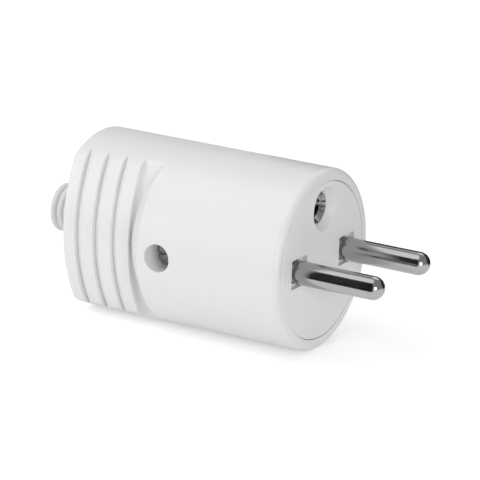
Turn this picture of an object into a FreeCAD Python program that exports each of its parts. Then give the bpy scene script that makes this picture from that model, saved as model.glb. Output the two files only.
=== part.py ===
"""Straight rewirable mains plug: two round pins and an earth socket in a ribbed white sleeve.

The origin is the middle of the front rim's plane. +X runs along the plug towards the pin tips,
+Z points up towards the earth socket, and the pins lie side by side along Y. Millimetres.
"""

import FreeCAD, Part
import math
import os
import re

import Sketcher
from FreeCAD import Rotation, Vector

SIZES = (
    # Outer sleeve
    ("sleeve_length", 53.3, "front rim to rear face"),
    ("sleeve_radius", 18.7, "outside of the round barrel"),
    ("front_round", 1.3, "rounding of the front rim"),
    ("rear_round", 0.9, "rounding of the rear edge"),
    ("rim_wall", 2.4, "wall round the disc"),
    ("rear_wall", 2.5, "wall that the bushing sits in"),
    ("side_wall", 2.2, "wall under the grip's grooves"),
    ("cavity_ledge", 0.7, "step that the disc seats on"),
    ("round_cavity", 31.0, "depth of the round part of the cavity"),
    # Ribbed grip
    ("grip_start", 32.3, "front rim to the end of the round barrel"),
    ("grip_slope", 4.8, "length of the slope down to the grip"),
    ("grip_half_width", 14.6, "axis to the crest of a rib"),
    ("grip_arc_radius", 31.0, "curve of the ribs seen from behind"),
    ("grip_corner", 5.0, "rounding from the ribs' sides to the barrel"),
    ("corner_overrun", 0.15, "end of that rounding outside the barrel"),
    ("last_rib", 0.7, "rearmost rib, as a share of the ribs' pitch"),
    ("groove_depth", 1.1, "crest of a rib to the bottom of its groove"),
    ("rib_rise", 1.7, "length over which a rib rises from the groove behind it"),
    # Contact carrier
    ("disc_thickness", 4.5, "front disc of the carrier"),
    ("disc_edge", 0.25, "rounding of the disc's edge"),
    ("disc_clearance", 0.1, "disc to sleeve, all round"),
    ("housing_length", 15.5, "terminal housing behind the disc"),
    ("housing_wall", 1.0, "walls above and below the terminal heads"),
    ("housing_gap", 0.2, "housing or earth barrel to the sleeve"),
    ("tongue_gap", 1.3, "tongue that carries the cord clamp to the sleeve, at each side"),
    ("tongue_floor", 2.0, "floor of the tongue"),
    ("tongue_wall", 1.6, "side walls of the tongue"),
    ("tongue_wall_gap", 0.15, "side walls of the tongue to the cord clamp"),
    ("tongue_end_gap", 3.0, "tongue to the sleeve's rear wall"),
    # Pins
    ("pin_spacing", 19.0, "between the pins' axes"),
    ("pin_radius", 2.4, "free part of a pin"),
    ("pin_root_radius", 2.2, "part of a pin inside the carrier"),
    ("pin_step", 0.1, "front rim to the start of a pin's free part"),
    ("pin_reach", 19.0, "front rim to the pin's tip"),
    ("pin_recess_width", 6.0, "square well round each pin in the face"),
    ("pin_recess_depth", 1.0, "square well round each pin in the face"),
    ("pin_clearance", 0.05, "pin to its hole, all round"),
    ("head_width", 6.0, "square terminal head"),
    ("head_seat", 6.0, "front rim to the front of the terminal head"),
    ("head_clearance", 0.15, "head to its chamber, all round"),
    # Earth socket
    ("earth_bore_radius", 2.5, "inside of the tube"),
    ("earth_tube_wall", 0.8, "wall of the tube"),
    ("earth_setback", 1.7, "front rim to the tube's mouth"),
    ("earth_bore_depth", 16.8, "depth of the bore"),
    ("earth_lip", 0.2, "flat edge of the tube's mouth"),
    ("earth_flare", 1.1, "depth of the flare in the mouth"),
    ("earth_flange", 0.7, "collar that is trapped by the retaining plate"),
    ("earth_flange_length", 1.6, "collar that is trapped by the retaining plate"),
    ("earth_pillar", 9.0, "solid end that takes the wire"),
    ("earth_slot_width", 0.7, "slots that let the tube spring"),
    ("earth_slot_length", 11.0, "slots that let the tube spring"),
    ("funnel_radius", 4.5, "plastic funnel at the face"),
    ("barrel_wall", 0.8, "plastic round the tube"),
    ("spring_wall", 0.4, "split ring round the tube"),
    ("spring_width", 3.0, "split ring round the tube"),
    ("spring_gap", 1.2, "opening of the split ring"),
    ("spring_place", 7.0, "front rim to the split ring"),
    ("spring_clearance", 0.15, "split ring or collar to the barrel, all round"),
    ("tube_clearance", 0.15, "tube to the disc, all round"),
    # Terminals
    ("wire_way", 3.2, "square way for the wire"),
    ("wire_depth", 8.5, "depth of the way"),
    ("leaf_thickness", 0.4, "pressure leaf"),
    ("leaf_clearance", 0.1, "pressure leaf to its way"),
    ("leaf_tab", 1.2, "tab that keeps the leaf in place"),
    ("terminal_place", 5.0, "end of the head to the screw"),
    # Screws
    ("screw_radius", 1.5, "thread"),
    ("thread_clearance", 0.05, "thread to its hole, all round"),
    ("screw_hole_clearance", 0.2, "thread to a plain hole, all round"),
    ("screw_head_radius", 2.6, "cheese head"),
    ("screw_head_height", 1.8, "cheese head"),
    ("screw_head_clearance", 0.3, "head to its well, all round"),
    ("screw_slot_width", 0.8, "driver slot"),
    ("screw_slot_depth", 0.9, "driver slot"),
    ("terminal_screw_stand", 0.3, "head of a terminal screw to its terminal"),
    ("plate_screw_length", 9.0, "under the head"),
    ("clamp_screw_length", 8.0, "under the head"),
    ("side_screw_overrun", 1.4, "end of the screw past its nut"),
    ("screw_tip_gap", 0.3, "end of a screw to the end of its hole"),
    # Side screw and its nut
    ("side_screw_depth", 6.5, "outside of the barrel to the seat of the head"),
    ("boss_wall", 1.8, "plastic round the screw's well"),
    ("boss_gap", 0.2, "boss to the tongue"),
    ("boss_behind", 0.5, "retaining plate to the boss"),
    ("nut_width", 5.5, "square nut"),
    ("nut_thickness", 1.8, "square nut"),
    ("nut_clearance", 0.1, "nut to its slot"),
    ("nut_cover", 1.6, "plastic between nut and side"),
    # Retaining plate
    ("plate_thickness", 2.5, "plate behind the contacts"),
    ("plate_clearance", 0.15, "plate to the earth pillar, all round"),
    # Cord clamp
    ("cord_radius", 3.75, "cord that the clamp takes"),
    ("clamp_end", 1.4, "clamp posts to the end of the tongue"),
    ("clamp_width", 5.0, "clamp, along the cord"),
    ("clamp_wing", 2.7, "wings under the screw heads"),
    ("clamp_arch", 1.0, "arch over the cord"),
    ("cord_gap", 0.6, "cord to a clamp post"),
    ("post_margin", 0.6, "post past the clamp, at each end"),
    ("clamp_gap", 0.2, "end of the clamp inside the tongue's side"),
    # Cable bushing
    ("bushing_reach", 9.5, "rear face to the end of the bushing"),
    ("bushing_radius", 5.1, "over the rings"),
    ("bushing_valley", 0.55, "depth between the rings"),
    ("bushing_bore_radius", 3.6, "hole for the cord"),
    ("bushing_neck_radius", 4.4, "neck in the rear wall"),
    ("bushing_clearance", 0.1, "neck to the wall, all round"),
    ("bushing_flange", 2.0, "collar inside the wall, beyond the neck"),
    ("bushing_flange_length", 1.8, "collar inside the wall"),
    ("ring_pitch", 1.65, "one ring to the next"),
    ("ring_width", 1.1, "one ring"),
)
RIB_COUNT = 4
NAMES = {name for name, size, note in SIZES}
FULL_TURN = 360
TOP_TO_MINUS_Y = Rotation(Vector(1, 0, 0), 90)
TOP_TO_PLUS_Y = Rotation(Vector(1, 0, 0), -90)
TOP_TO_REAR = Rotation(Vector(0, 1, 0), -90)

doc = FreeCAD.newDocument("plug")
sheet = doc.addObject("Spreadsheet::Sheet", "sizes")


def fill_sheet():
    """Write every driving size to the sheet, with its name as the cell's alias."""
    for row, (name, size, note) in enumerate(SIZES, 1):
        sheet.set(f"A{row}", note)
        sheet.set(f"B{row}", str(size))
        sheet.setAlias(f"B{row}", name)
    doc.recompute()


def tie(formula):
    """Turn a formula of size names into an expression that reads the sheet."""
    return re.sub(r"[a-z_]+", lambda word: f"sizes.{word[0]}" if word[0] in NAMES else word[0], formula)


def value(formula):
    """Work out a formula of size names."""
    return float(sheet.evalExpression(tie(formula)))


def new_body(label):
    """Start a sub-part."""
    body = doc.addObject("PartDesign::Body", label)
    body.Label = label
    return body


def origin_plane(body, role):
    """Find one of a body's own origin planes."""
    return next(plane for plane in body.Origin.OriginFeatures if plane.Role == role)


def new_sketch(body, role, offset="0"):
    """Start a sketch on an origin plane, moved along the plane's normal."""
    sketch = body.newObject("Sketcher::SketchObject", f"{body.Name}_sketch")
    sketch.AttachmentSupport = [(origin_plane(body, role), "")]
    sketch.MapMode = "FlatFace"
    sketch.setExpression("AttachmentOffset.Base.z", tie(offset))
    return sketch


def hold(sketch, kind, *places, formula):
    """Add one dimension to a sketch, bound to the sheet."""
    number = sketch.addConstraint(Sketcher.Constraint(kind, *places, value(formula)))
    sketch.setExpression(f"Constraints[{number}]", tie(formula))


def draw_outline(sketch, corners):
    """Draw a closed straight-sided outline through corners given as pairs of formulas."""
    points = [Vector(value(across), value(up), 0) for across, up in corners]
    first = sketch.GeometryCount
    for start, end in zip(points, points[1:] + points[:1]):
        sketch.addGeometry(Part.LineSegment(start, end), False)
    for place, (across, up) in enumerate(corners):
        before = first + (place - 1) % len(corners)
        sketch.addConstraint(Sketcher.Constraint("Coincident", before, 2, first + place, 1))
        hold(sketch, "DistanceX", first + place, 1, formula=across)
        hold(sketch, "DistanceY", first + place, 1, formula=up)


def draw_box(sketch, left, right, low, high):
    """Draw a rectangle."""
    draw_outline(sketch, [(left, low), (right, low), (right, high), (left, high)])


def draw_circle(sketch, across, up, radius):
    """Draw a circle."""
    middle = Vector(value(across), value(up), 0)
    circle = sketch.addGeometry(Part.Circle(middle, Vector(0, 0, 1), value(radius)), False)
    hold(sketch, "DistanceX", circle, 3, formula=across)
    hold(sketch, "DistanceY", circle, 3, formula=up)
    hold(sketch, "Radius", circle, formula=radius)


def draw_flat_sided(sketch, radius, half_width):
    """Draw a circle with a flat cut on the left and right."""
    reach = value(radius)
    side = value(half_width)
    top = (reach ** 2 - side ** 2) ** 0.5
    ends = [Vector(side, top, 0), Vector(-side, top, 0), Vector(-side, -top, 0), Vector(side, -top, 0)]
    draw_ring_of_arcs(sketch, ends, (Vector(0, reach, 0), Vector(0, -reach, 0)), radius)
    for line, place in ((1, f"0 - {half_width}"), (3, half_width)):
        sketch.addConstraint(Sketcher.Constraint("Vertical", line))
        hold(sketch, "DistanceX", line, 1, formula=place)


def draw_flat_topped(sketch, radius, low, high):
    """Draw a circle with a flat cut at the bottom and the top."""
    reach = value(radius)
    bottom = value(low)
    top = value(high)
    low_end = (reach ** 2 - bottom ** 2) ** 0.5
    high_end = (reach ** 2 - top ** 2) ** 0.5
    ends = [Vector(low_end, bottom, 0), Vector(high_end, top, 0),
            Vector(-high_end, top, 0), Vector(-low_end, bottom, 0)]
    draw_ring_of_arcs(sketch, ends, (Vector(reach, 0, 0), Vector(-reach, 0, 0)), radius)
    for line, place in ((1, high), (3, low)):
        sketch.addConstraint(Sketcher.Constraint("Horizontal", line))
        hold(sketch, "DistanceY", line, 1, formula=place)


def draw_ring_of_arcs(sketch, ends, middles, radius):
    """Draw arc, line, arc, line through four ends, the arcs on one circle round the origin."""
    first_arc = sketch.addGeometry(Part.Arc(ends[0], middles[0], ends[1]), False)
    first_line = sketch.addGeometry(Part.LineSegment(ends[1], ends[2]), False)
    second_arc = sketch.addGeometry(Part.Arc(ends[2], middles[1], ends[3]), False)
    second_line = sketch.addGeometry(Part.LineSegment(ends[3], ends[0]), False)
    for joint in ((first_arc, 2, first_line, 1), (first_line, 2, second_arc, 1),
                  (second_arc, 2, second_line, 1), (second_line, 2, first_arc, 1)):
        sketch.addConstraint(Sketcher.Constraint("Coincident", *joint))
    for arc in (first_arc, second_arc):
        sketch.addConstraint(Sketcher.Constraint("Coincident", arc, 3, -1, 1))
        hold(sketch, "Radius", arc, formula=radius)


def add_axis(sketch, height):
    """Draw a level construction line, to turn the sketch about."""
    level = value(height)
    start = Vector(-value("sleeve_length"), level, 0)
    axis = sketch.addGeometry(Part.LineSegment(start, Vector(0, level, 0)), True)
    sketch.addConstraint(Sketcher.Constraint("Horizontal", axis))
    hold(sketch, "DistanceX", axis, 1, formula="0 - sleeve_length")
    hold(sketch, "DistanceX", axis, 2, formula="0")
    hold(sketch, "DistanceY", axis, 2, formula=height)


def add_feature(body, kind, sketch, **settings):
    """Add a feature that grows or cuts from a sketch, and test that it changed the body's volume."""
    doc.recompute()
    before = 0 if body.Shape.isNull() else body.Shape.Volume
    feature = body.newObject(f"PartDesign::{kind}", f"{body.Name}_{kind}")
    feature.Profile = sketch
    for name, setting in settings.items():
        if name == "Length":
            feature.setExpression(name, tie(setting))
        else:
            setattr(feature, name, setting)
    doc.recompute()
    grown = body.Shape.Volume - before
    if grown * (-1 if kind in ("Pocket", "Groove") else 1) <= 0:
        raise RuntimeError(f"{feature.Name} in {body.Label} has no effect")
    return feature


def revolve(body, sketch, kind="Revolution", axis="H_Axis"):
    """Turn a sketch a full circle."""
    return add_feature(body, kind, sketch, ReferenceAxis=(sketch, [axis]), Angle=FULL_TURN)


def pad(body, sketch, length, **settings):
    """Grow a sketch along its normal."""
    return add_feature(body, "Pad", sketch, Length=length, **settings)


def pocket(body, sketch, length, **settings):
    """Cut a sketch against its normal."""
    return add_feature(body, "Pocket", sketch, Length=length, **settings)


def soften(body, radius, wanted):
    """Round the edges that the test picks."""
    base = body.Tip
    edges = [f"Edge{place}" for place, edge in enumerate(base.Shape.Edges, 1) if wanted(edge)]
    feature = body.newObject("PartDesign::Fillet", f"{body.Name}_fillet")
    feature.Base = (base, edges)
    feature.setExpression("Radius", tie(radius))
    doc.recompute()


def place(body, x="0", y="0", z="0", rotation=Rotation()):
    """Set a body's place from formulas, with a fixed turn."""
    body.Placement.Rotation = rotation
    for axis, formula in zip("xyz", (x, y, z)):
        body.setExpression(f"Placement.Base.{axis}", tie(formula))


SEAT_RADIUS = "(sleeve_radius - rim_wall)"
CAVITY_RADIUS = f"({SEAT_RADIUS} - cavity_ledge)"
CAVITY_HALF_WIDTH = "(grip_half_width - groove_depth - side_wall)"
TONGUE_HALF = f"({CAVITY_HALF_WIDTH} - tongue_gap)"
HEAD_HALF = "(head_width / 2 + head_clearance)"
HOUSING_RADIUS = f"({CAVITY_RADIUS} - housing_gap)"
HOUSING_HALF_HEIGHT = f"({HEAD_HALF} + housing_wall)"
HOUSING_END = "(disc_thickness + housing_length)"
TUBE_RADIUS = "(earth_bore_radius + earth_tube_wall)"
BARREL_BORE = f"({TUBE_RADIUS} + spring_wall + spring_clearance)"
BARREL_RADIUS = f"({BARREL_BORE} + barrel_wall)"
EARTH_OFFSET = f"({HOUSING_RADIUS} - {BARREL_RADIUS})"
TONGUE_END = "(sleeve_length - rear_wall - tongue_end_gap)"
FLOOR_TOP = f"(0 - {HOUSING_HALF_HEIGHT})"
FLOOR_BOTTOM = f"({FLOOR_TOP} - tongue_floor)"
BOSS_FACE = f"({TONGUE_HALF} + boss_gap)"
HEAD_WELL = "(screw_head_radius + screw_head_clearance)"
BOSS_RADIUS = f"({HEAD_WELL} + boss_wall)"
SCREW_SEAT = "(sleeve_radius - side_screw_depth)"
NUT_NEAR = f"({TONGUE_HALF} - nut_cover)"
NUT_SLOT = "(nut_thickness + 2 * nut_clearance)"
NUT_HALF = "(nut_width / 2 + nut_clearance)"
NUT_BLOCK_HALF = f"({NUT_HALF} + nut_cover)"
NUT_FAR = f"({NUT_NEAR} - {NUT_SLOT})"
SIDE_SCREW_LENGTH = f"({SCREW_SEAT} - {NUT_NEAR} + nut_thickness + side_screw_overrun)"
PILLAR_START = f"({HOUSING_END} + plate_thickness)"
SIDE_SCREW = f"({PILLAR_START} + boss_behind + {BOSS_RADIUS})"
POST_HALF = "(clamp_width / 2 + post_margin)"
CLAMP_PLACE = f"({TONGUE_END} - clamp_end - {POST_HALF})"
PAST_CORD = "(cord_radius + cord_gap)"
CLAMP_SCREW = f"(({PAST_CORD} + {TONGUE_HALF}) / 2)"
HEAD_END = f"({HOUSING_END} - leaf_thickness - leaf_clearance)"
TERMINAL = f"({HEAD_END} - terminal_place)"
PILLAR_END = f"({PILLAR_START} + earth_pillar)"
EARTH_TERMINAL = f"({PILLAR_END} - terminal_place)"
LEAF_TOP = "(wire_way / 2 - leaf_clearance)"
PIN_SCREW_SEAT = "(head_width / 2 + terminal_screw_stand)"
EARTH_SCREW_SEAT = f"({TUBE_RADIUS} + terminal_screw_stand)"
THREAD_HOLE = "(screw_radius + thread_clearance)"
PLAIN_HOLE = "(screw_radius + screw_hole_clearance)"
GRIP_MIDDLE = "(grip_arc_radius - grip_half_width)"
CORNER_ARM = "(grip_arc_radius - grip_corner)"
CORNER_REACH = "(sleeve_radius - grip_corner + corner_overrun)"
CORNER_BACK = f"(({GRIP_MIDDLE}^2 + {CORNER_ARM}^2 - {CORNER_REACH}^2) / (2 * {GRIP_MIDDLE}))"
CORNER_HEIGHT = f"sqrt({CORNER_ARM}^2 - {CORNER_BACK}^2)"
PIN_PLACES = {"line": "0 - pin_spacing / 2", "neutral": "pin_spacing / 2"}


def make_sleeve():
    """Barrel with a rounded front rim, a ribbed grip on both sides, a stepped cavity and a screw well."""
    body = new_body("outer_sleeve")
    barrel = new_sketch(body, "XY_Plane")
    draw_box(barrel, "0 - sleeve_length", "0", "0", "sleeve_radius")
    revolve(body, barrel)
    cut_grip(body)
    slope = new_sketch(body, "XY_Plane")
    foot = "grip_half_width - groove_depth"
    draw_outline(slope, [("0 - grip_start", "sleeve_radius"), ("0 - grip_start", foot),
                         ("0 - grip_start - grip_slope", foot)])
    revolve(body, slope)
    soften(body, "front_round", lambda edge: edge.BoundBox.XMin > -value("front_round") / 2)
    soften(body, "rear_round", lambda edge: edge.BoundBox.XMax < value("rear_round / 2 - sleeve_length"))
    cut_cavity(body)
    make_screw_well(body)


def cut_grip(body):
    """Cut one side to a rounded section, turn the ribs' grooves into it, and mirror both cuts."""
    section = new_sketch(body, "YZ_Plane", "0 - grip_start")
    draw_grip_side(section)
    side = pocket(body, section, "sleeve_length - grip_start + rear_wall")
    grooves = new_sketch(body, "XY_Plane")
    bottom = "groove_depth - grip_half_width"
    outside = f"{bottom} - 2 * groove_depth"
    first = "(grip_start + grip_slope)"
    pitch = f"(sleeve_length - {first}) / ({RIB_COUNT - 1} + last_rib)"
    draw_box(grooves, f"0 - {first}", "0 - grip_start", outside, bottom)
    for rib in range(1, RIB_COUNT):
        front = f"0 - {first} - {rib} * {pitch}"
        draw_outline(grooves, [(front, bottom), (f"{front} + 2 * rib_rise", outside), (front, outside)])
    add_axis(grooves, GRIP_MIDDLE)
    groove = revolve(body, grooves, "Groove", "Axis0")
    other_side = body.newObject("PartDesign::Mirrored", "outer_sleeve_other_grip")
    other_side.Originals = [side, groove]
    other_side.MirrorPlane = (origin_plane(body, "XZ_Plane"), [""])
    body.Tip = other_side
    doc.recompute()


def draw_grip_side(sketch):
    """Draw what lies outside the ribs on one side: a flat arc, a tighter one at each end, closed far out."""
    across = f"{GRIP_MIDDLE} - {CORNER_BACK}"
    bend_height = f"{CORNER_HEIGHT} * grip_arc_radius / {CORNER_ARM}"
    end_height = f"{CORNER_HEIGHT} * (sleeve_radius + corner_overrun) / {CORNER_REACH}"
    middle = Vector(value(GRIP_MIDDLE), 0, 0)
    corner = Vector(value(across), value(CORNER_HEIGHT), 0)
    bend = middle + (corner - middle) * value(f"grip_arc_radius / {CORNER_ARM}")
    end = corner * value(f"(sleeve_radius + corner_overrun) / {CORNER_REACH}")
    halfway = corner + (bend + end - corner * 2).normalize() * value("grip_corner")
    crest = Vector(-value("grip_half_width"), 0, 0)
    far = Vector(-2 * value("sleeve_radius"), end.y, 0)
    low_bend, low_halfway, low_end, low_far = (Vector(point.x, -point.y, 0)
                                               for point in (bend, halfway, end, far))
    edges = [Part.Arc(end, halfway, bend), Part.Arc(bend, crest, low_bend),
             Part.Arc(low_bend, low_halfway, low_end), Part.LineSegment(low_end, low_far),
             Part.LineSegment(low_far, far), Part.LineSegment(far, end)]
    for edge in edges:
        sketch.addGeometry(edge, False)
    for number in range(len(edges)):
        sketch.addConstraint(Sketcher.Constraint("Coincident", number, 2, (number + 1) % len(edges), 1))
    for line, kind in ((3, "Horizontal"), (4, "Vertical"), (5, "Horizontal")):
        sketch.addConstraint(Sketcher.Constraint(kind, line))
    hold(sketch, "DistanceX", 4, 1, formula="0 - 2 * sleeve_radius")
    hold(sketch, "Radius", 1, formula="grip_arc_radius")
    for arc, place_across, height in ((0, across, CORNER_HEIGHT), (1, GRIP_MIDDLE, "0"),
                                      (2, across, f"0 - {CORNER_HEIGHT}")):
        hold(sketch, "DistanceX", arc, 3, formula=place_across)
        hold(sketch, "DistanceY", arc, 3, formula=height)
    for arc, point, height in ((0, 1, end_height), (0, 2, bend_height), (2, 1, f"0 - {bend_height}"),
                               (2, 2, f"0 - {end_height}")):
        hold(sketch, "DistanceY", arc, point, formula=height)


def cut_cavity(body):
    """Seat for the disc, round cavity, flat-sided cavity under the grip, and the hole for the bushing."""
    bore = new_sketch(body, "XY_Plane")
    neck = "bushing_neck_radius + bushing_clearance"
    draw_outline(bore, [("0", "0"), ("0", SEAT_RADIUS), ("0 - disc_thickness", SEAT_RADIUS),
                        ("0 - disc_thickness", CAVITY_RADIUS), ("0 - round_cavity", CAVITY_RADIUS),
                        ("0 - round_cavity", neck), ("0 - sleeve_length", neck),
                        ("0 - sleeve_length", "0")])
    revolve(body, bore, "Groove")
    flat = new_sketch(body, "YZ_Plane", "0 - round_cavity")
    draw_flat_sided(flat, CAVITY_RADIUS, CAVITY_HALF_WIDTH)
    pocket(body, flat, "sleeve_length - rear_wall - round_cavity")


def make_screw_well(body):
    """Boss on the inside of the barrel, with a well for the side screw's head and a hole for its shank."""
    along = f"0 - {SIDE_SCREW}"
    boss = new_sketch(body, "XZ_Plane", BOSS_FACE)
    draw_circle(boss, along, "0", BOSS_RADIUS)
    pad(body, boss, f"{CAVITY_RADIUS} - {BOSS_FACE} + disc_clearance")
    well = new_sketch(body, "XZ_Plane", "sleeve_radius")
    draw_circle(well, along, "0", HEAD_WELL)
    pocket(body, well, "side_screw_depth")
    hole = new_sketch(body, "XZ_Plane", "sleeve_radius")
    draw_circle(hole, along, "0", PLAIN_HOLE)
    pocket(body, hole, f"sleeve_radius - {BOSS_FACE} + boss_gap")


def make_carrier():
    """One moulding: disc with pin wells and earth funnel, terminal housing, earth barrel, cord tongue."""
    body = new_body("contact_carrier")
    disc = new_sketch(body, "YZ_Plane")
    draw_circle(disc, "0", "0", f"{SEAT_RADIUS} - disc_clearance")
    pad(body, disc, "disc_thickness", Reversed=True)
    soften(body, "disc_edge", lambda edge: edge.BoundBox.XMin > -value("disc_edge") / 2)
    behind_disc = "0 - disc_thickness"
    housing = new_sketch(body, "YZ_Plane", behind_disc)
    draw_flat_topped(housing, HOUSING_RADIUS, FLOOR_TOP, HOUSING_HALF_HEIGHT)
    pad(body, housing, "housing_length", Reversed=True)
    add_barrel(body, behind_disc, "housing_length")
    add_tongue(body, behind_disc)
    cut_pin_chambers(body)
    cut_earth_way(body)
    screw_hole = new_sketch(body, "YZ_Plane", f"0 - {HOUSING_END}")
    draw_circle(screw_hole, "0", "0", THREAD_HOLE)
    pocket(body, screw_hole, "plate_screw_length - plate_thickness + screw_tip_gap", Reversed=True)


def add_barrel(body, station, length):
    """Grow the round barrel of the earth socket and the web that joins it to what lies below."""
    web = new_sketch(body, "YZ_Plane", station)
    draw_box(web, f"0 - {TUBE_RADIUS}", TUBE_RADIUS, "0", EARTH_OFFSET)
    pad(body, web, length, Reversed=True)
    barrel = new_sketch(body, "YZ_Plane", station)
    draw_circle(barrel, "0", EARTH_OFFSET, BARREL_RADIUS)
    pad(body, barrel, length, Reversed=True)


def add_tongue(body, behind_disc):
    """Grow the floor, side walls, nut block, cord saddle and clamp posts."""
    floor = new_sketch(body, "YZ_Plane", behind_disc)
    draw_box(floor, f"0 - {TONGUE_HALF}", TONGUE_HALF, FLOOR_BOTTOM, FLOOR_TOP)
    pad(body, floor, f"{TONGUE_END} - disc_thickness", Reversed=True)
    wall_start = f"({PILLAR_START} + plate_clearance)"
    inside = f"({TONGUE_HALF} - tongue_wall)"
    for near, far in ((f"0 - {TONGUE_HALF}", f"0 - {inside}"), (inside, TONGUE_HALF)):
        wall = new_sketch(body, "YZ_Plane", f"0 - {wall_start}")
        draw_box(wall, near, far, FLOOR_TOP, "0 - tongue_wall_gap")
        pad(body, wall, f"{TONGUE_END} - {wall_start}", Reversed=True)
    saddle = new_sketch(body, "XY_Plane", FLOOR_TOP)
    draw_box(saddle, f"0 - {CLAMP_PLACE} - clamp_width / 4", f"clamp_width / 4 - {CLAMP_PLACE}",
             f"0 - {PAST_CORD}", PAST_CORD)
    pad(body, saddle, f"0 - cord_radius - {FLOOR_TOP}")
    for near, far, middle in ((f"0 - {TONGUE_HALF}", f"0 - {PAST_CORD}", f"0 - {CLAMP_SCREW}"),
                              (PAST_CORD, TONGUE_HALF, CLAMP_SCREW)):
        post = new_sketch(body, "XY_Plane", FLOOR_TOP)
        draw_box(post, f"0 - {CLAMP_PLACE} - {POST_HALF}", f"{POST_HALF} - {CLAMP_PLACE}", near, far)
        pad(body, post, f"0 - {FLOOR_TOP}")
        hole = new_sketch(body, "XY_Plane")
        draw_circle(hole, f"0 - {CLAMP_PLACE}", middle, THREAD_HOLE)
        pocket(body, hole, "clamp_screw_length - clamp_wing + screw_tip_gap")
    add_nut_block(body)


def add_nut_block(body):
    """Grow the block on the tongue's side that holds the nut, with its slot and the screw's hole."""
    front = f"{NUT_BLOCK_HALF} - {SIDE_SCREW}"
    rear = f"0 - {SIDE_SCREW} - {NUT_BLOCK_HALF}"
    block = new_sketch(body, "XY_Plane", FLOOR_TOP)
    draw_box(block, rear, front, f"0 - {TONGUE_HALF}", f"nut_cover - {NUT_FAR}")
    pad(body, block, f"{NUT_HALF} - {FLOOR_TOP}")
    slot = new_sketch(body, "XY_Plane", NUT_HALF)
    draw_box(slot, f"0 - {SIDE_SCREW} - {NUT_HALF}", f"{NUT_HALF} - {SIDE_SCREW}",
             f"0 - {NUT_NEAR}", f"0 - {NUT_FAR}")
    pocket(body, slot, f"2 * {NUT_HALF}")
    hole = new_sketch(body, "XZ_Plane", TONGUE_HALF)
    draw_circle(hole, f"0 - {SIDE_SCREW}", "0", PLAIN_HOLE)
    pocket(body, hole, f"{TONGUE_HALF} - {NUT_FAR} + nut_cover")


def cut_pin_chambers(body):
    """Cut each pin's square well, hole and terminal chamber, and the way in for its terminal screw."""
    for across in PIN_PLACES.values():
        well = new_sketch(body, "YZ_Plane")
        draw_box(well, f"{across} - pin_recess_width / 2", f"{across} + pin_recess_width / 2",
                 "0 - pin_recess_width / 2", "pin_recess_width / 2")
        pocket(body, well, "pin_recess_depth")
        hole = new_sketch(body, "YZ_Plane")
        draw_circle(hole, across, "0", "pin_radius + pin_clearance")
        pocket(body, hole, "head_seat")
        chamber = new_sketch(body, "YZ_Plane", f"0 - {HOUSING_END}")
        draw_box(chamber, f"{across} - {HEAD_HALF}", f"{across} + {HEAD_HALF}",
                 f"0 - {HEAD_HALF}", HEAD_HALF)
        pocket(body, chamber, f"{HOUSING_END} - head_seat", Reversed=True)
        access = new_sketch(body, "XY_Plane", HOUSING_HALF_HEIGHT)
        draw_circle(access, f"0 - {TERMINAL}", across, HEAD_WELL)
        pocket(body, access, HOUSING_HALF_HEIGHT)


def cut_earth_way(body):
    """Cut the funnel in the face, the tube's hole, room for its split ring and the seat of its collar."""
    way = new_sketch(body, "XZ_Plane")
    hole = f"{EARTH_OFFSET} + {TUBE_RADIUS} + tube_clearance"
    bore = f"{EARTH_OFFSET} + {BARREL_BORE}"
    collar = f"{EARTH_OFFSET} + {TUBE_RADIUS} + earth_flange + spring_clearance"
    seat = f"earth_flange_length - {HOUSING_END}"
    end = f"0 - {HOUSING_END}"
    draw_outline(way, [("0", EARTH_OFFSET), ("0", f"{EARTH_OFFSET} + funnel_radius"),
                       ("0 - earth_setback", hole), ("0 - disc_thickness", hole),
                       ("0 - disc_thickness", bore), (seat, bore), (seat, collar), (end, collar),
                       (end, EARTH_OFFSET)])
    add_axis(way, EARTH_OFFSET)
    revolve(body, way, "Groove", "Axis0")


def make_pin(name, across):
    """Round-tipped pin with a square terminal head, a way for the wire and a threaded hole."""
    body = new_body(f"{name}_pin")
    shank = new_sketch(body, "XY_Plane")
    draw_pin_outline(shank)
    revolve(body, shank)
    head = new_sketch(body, "YZ_Plane", "0 - head_seat")
    draw_box(head, "0 - head_width / 2", "head_width / 2", "0 - head_width / 2", "head_width / 2")
    pad(body, head, f"{HEAD_END} - head_seat", Reversed=True)
    cut_wire_way(body, HEAD_END)
    hole = new_sketch(body, "XY_Plane", "head_width / 2")
    draw_circle(hole, f"0 - {TERMINAL}", "0", THREAD_HOLE)
    pocket(body, hole, "head_width / 2")
    place(body, y=across)


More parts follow.
